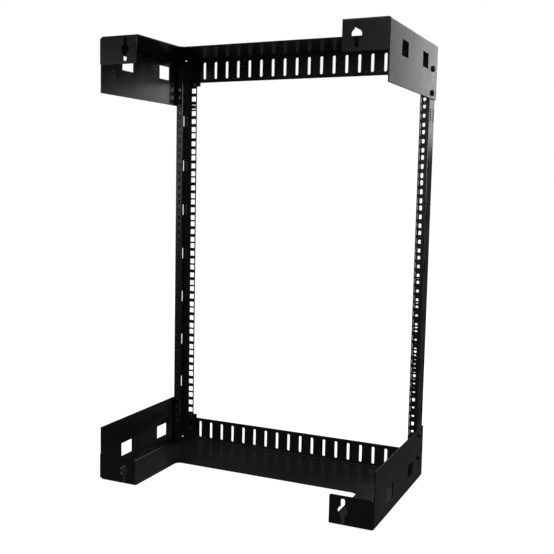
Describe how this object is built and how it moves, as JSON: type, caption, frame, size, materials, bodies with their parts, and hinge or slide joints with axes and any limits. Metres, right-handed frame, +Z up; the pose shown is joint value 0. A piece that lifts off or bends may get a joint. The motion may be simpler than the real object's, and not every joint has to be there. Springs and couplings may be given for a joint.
{
  "type": "two post open frame wall rack",
  "caption": "Open frame equipment rack: two channel posts with square holes held between two folded U-shaped trays with wall flanges.",
  "frame": {"origin": "centre of the footprint at floor level, under the lower tray", "axes": "+Z up, +Y towards the wall, -Y the equipment side, +X to the left as seen from the wall"},
  "size_m": [0.508, 0.306, 0.78],
  "materials": {
    "black_powder_coat": "fine-textured satin black powder coat"
  },
  "bodies": {
    "root": {"top_deck": "black_powder_coat", "top_left_side": "black_powder_coat", "top_right_side": "black_powder_coat", "top_left_flange": "black_powder_coat", "top_right_flange": "black_powder_coat", "top_rail": "black_powder_coat", "top_rail_lip": "black_powder_coat", "bottom_deck": "black_powder_coat", "bottom_left_side": "black_powder_coat", "bottom_right_side": "black_powder_coat", "bottom_left_flange": "black_powder_coat", "bottom_right_flange": "black_powder_coat", "bottom_rail": "black_powder_coat", "bottom_rail_lip": "black_powder_coat", "left_post_face": "black_powder_coat", "left_post_web": "black_powder_coat", "left_post_return": "black_powder_coat", "right_post_face": "black_powder_coat", "right_post_web": "black_powder_coat", "right_post_return": "black_powder_coat"}
  },
  "joints": []
}
